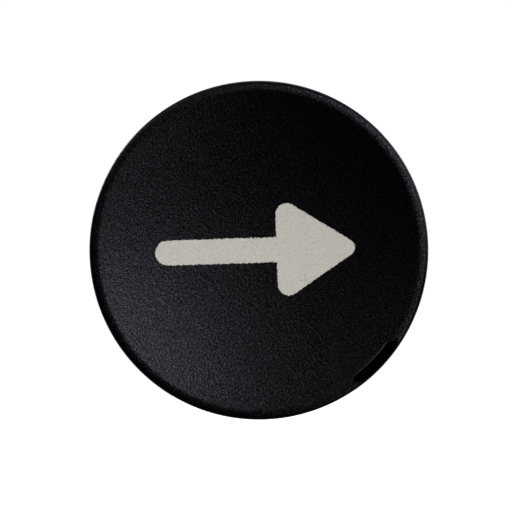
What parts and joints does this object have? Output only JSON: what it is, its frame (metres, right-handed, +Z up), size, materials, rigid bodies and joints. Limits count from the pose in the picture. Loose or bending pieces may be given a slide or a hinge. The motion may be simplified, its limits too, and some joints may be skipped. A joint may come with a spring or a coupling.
{
  "type": "pedestrian push button",
  "caption": "Round black dished palm push button with a let-in white direction arrow, rubber boot, panel-mounted operator body and lever-operated snap switch.",
  "frame": {"origin": "on the press axis, in the plane where the gasket's rear face meets the panel", "axes": "+Y runs along the press axis, from the button face through the panel to the switch; +X is the way the arrow points, to the right seen from the front; +Z is up"},
  "size_m": [0.0508, 0.0765, 0.0508],
  "materials": {
    "cap_plastic": "fine textured black moulded plastic",
    "arrow_fill": "off-white, slightly speckled",
    "insert_brass": "turned and knurled",
    "bearing_bronze": "sintered, oiled",
    "stainless": "turned stainless steel",
    "plated_steel": "bright zinc plated",
    "black_steel": "black oxide",
    "cast_alloy": "die cast, machined at the seats",
    "spring_steel": "drawn wire",
    "boot_rubber": "matte moulded rubber",
    "seal_rubber": "nitrile rubber",
    "gasket_rubber": "cellular neoprene sheet",
    "nylon": "moulded nylon",
    "phenolic": "filled phenolic moulding",
    "cover_plastic": "moulded thermoplastic",
    "pin_plastic": "red acetal",
    "contact_spring": "beryllium copper strip",
    "contact_silver": "silver alloy",
    "tinned_brass": "tinned brass strip",
    "ground_green": "green passivated steel",
    "insulation_board": "pressed insulation board"
  },
  "bodies": {
    "housing": {"operator_body": "cast_alloy", "front_bush": "bearing_bronze", "rear_bush": "bearing_bronze", "wiper_seal": "seal_rubber", "rubber_boot": "boot_rubber", "boot_clamp_ring": "stainless", "clamp_screws": "stainless", "return_spring": "spring_steel", "bump_washer": "nylon", "panel_gasket": "gasket_rubber", "switch_bracket": "plated_steel", "bracket_screws": "plated_steel", "ground_screw": "ground_green", "ground_washer": "plated_steel", "switch_base": "phenolic", "switch_cover": "cover_plastic", "lever_pivot_pin": "stainless", "com_terminal": "tinned_brass", "no_terminal": "tinned_brass", "nc_terminal": "tinned_brass", "switch_screws": "plated_steel", "switch_nuts": "plated_steel", "insulator_sheet": "insulation_board"},
    "button": {"button_cap": "cap_plastic", "arrow_inlay": "arrow_fill", "cap_insert": "insert_brass", "lock_nut": "plated_steel", "plunger": "stainless", "anti_turn_pin": "stainless", "spring_cup": "plated_steel", "retaining_ring": "black_steel"},
    "switch_arm": {"switch_lever": "stainless"},
    "switch_plunger": {"switch_pin": "pin_plastic"},
    "contact_blade": {"snap_blade": "contact_spring", "moving_contact": "contact_silver"}
  },
  "joints": [
    {"name": "button_slide", "type": "slide", "parent": "housing", "child": "button", "axis": [0, 1, 0], "range_m": [0, 0.0032], "stiffness_N_per_m": 1990, "springref_m": -0.0048, "deforming": ["return_spring", "rubber_boot"]},
    {"name": "lever_hinge", "type": "hinge", "parent": "housing", "child": "switch_arm", "pos_m": [0, 0.03288, 0.0114], "axis": [1, 0, 0], "range_deg": [0, 14.9]},
    {"name": "pin_slide", "type": "slide", "parent": "housing", "child": "switch_plunger", "axis": [0, 1, 0], "range_m": [0, 0.0009]},
    {"name": "blade_hinge", "type": "hinge", "parent": "housing", "child": "contact_blade", "pos_m": [0, 0.0376, 0.0102], "axis": [1, 0, 0], "range_deg": [0, 2.75]}
  ],
  "couplings": [
    {"joint": "lever_hinge", "follows": "button_slide", "rad_per_m": 80.994},
    {"joint": "pin_slide", "follows": "button_slide", "ratio": 0.28},
    {"joint": "blade_hinge", "follows": "button_slide", "rad_per_m": 14.726}
  ]
}
